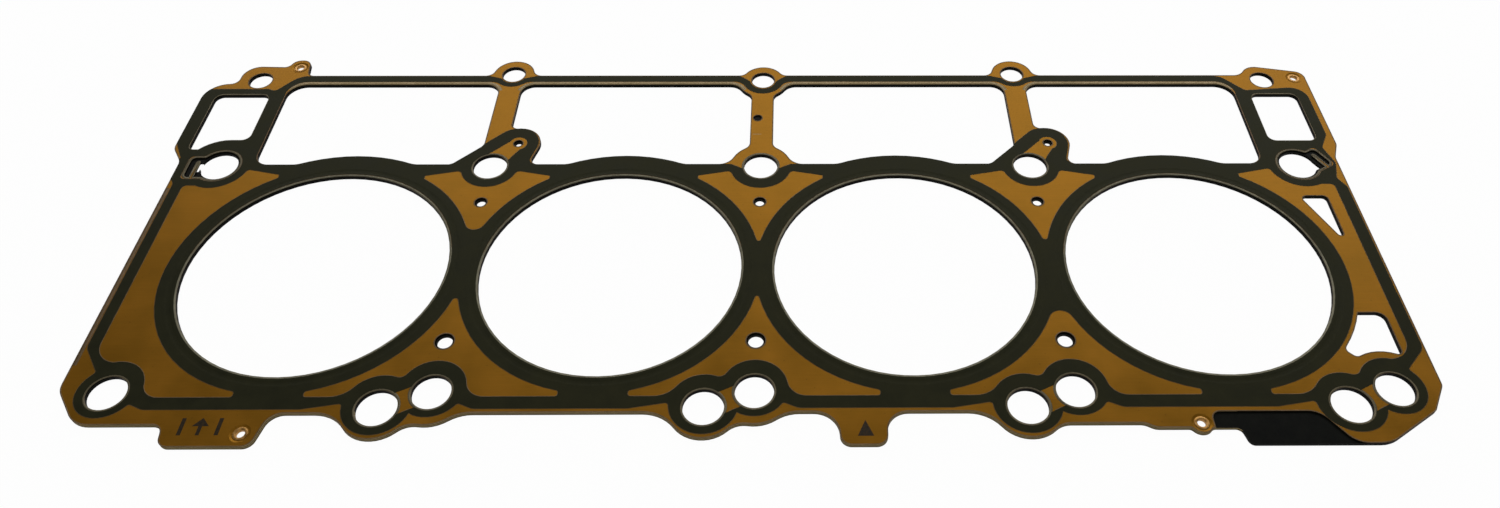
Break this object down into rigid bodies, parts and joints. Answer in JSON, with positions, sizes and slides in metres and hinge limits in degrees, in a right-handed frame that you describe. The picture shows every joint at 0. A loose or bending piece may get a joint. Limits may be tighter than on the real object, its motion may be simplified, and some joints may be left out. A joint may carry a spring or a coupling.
{
  "type": "cylinder head gasket",
  "caption": "Multi-layer steel head gasket for one bank of an engine: beaded sheets with bore rings, a bolted valley rail, riveted layers and a printed sealing bead.",
  "frame": {"origin": "middle of the line through the bore centres, on the underside that lies on the block", "axes": "+X along the bank, +Y across it towards the valley rail, +Z towards the cylinder head"},
  "size_m": [0.4961, 0.2043, 0.0018],
  "materials": {
    "coated_steel": "thin black elastomer coating on steel",
    "lacquered_steel": "gold-brown lacquer on steel",
    "seal": "matt screen-printed elastomer",
    "rivet": "bright rolled tube"
  },
  "bodies": {
    "root": {"bottom_layer": "coated_steel", "spacer_layer": "coated_steel", "top_layer": "lacquered_steel", "seal_print": "seal", "eyelet_front_left": "rivet", "eyelet_front_right": "rivet", "eyelet_rear_left": "rivet", "eyelet_rear_right": "rivet"}
  },
  "joints": []
}
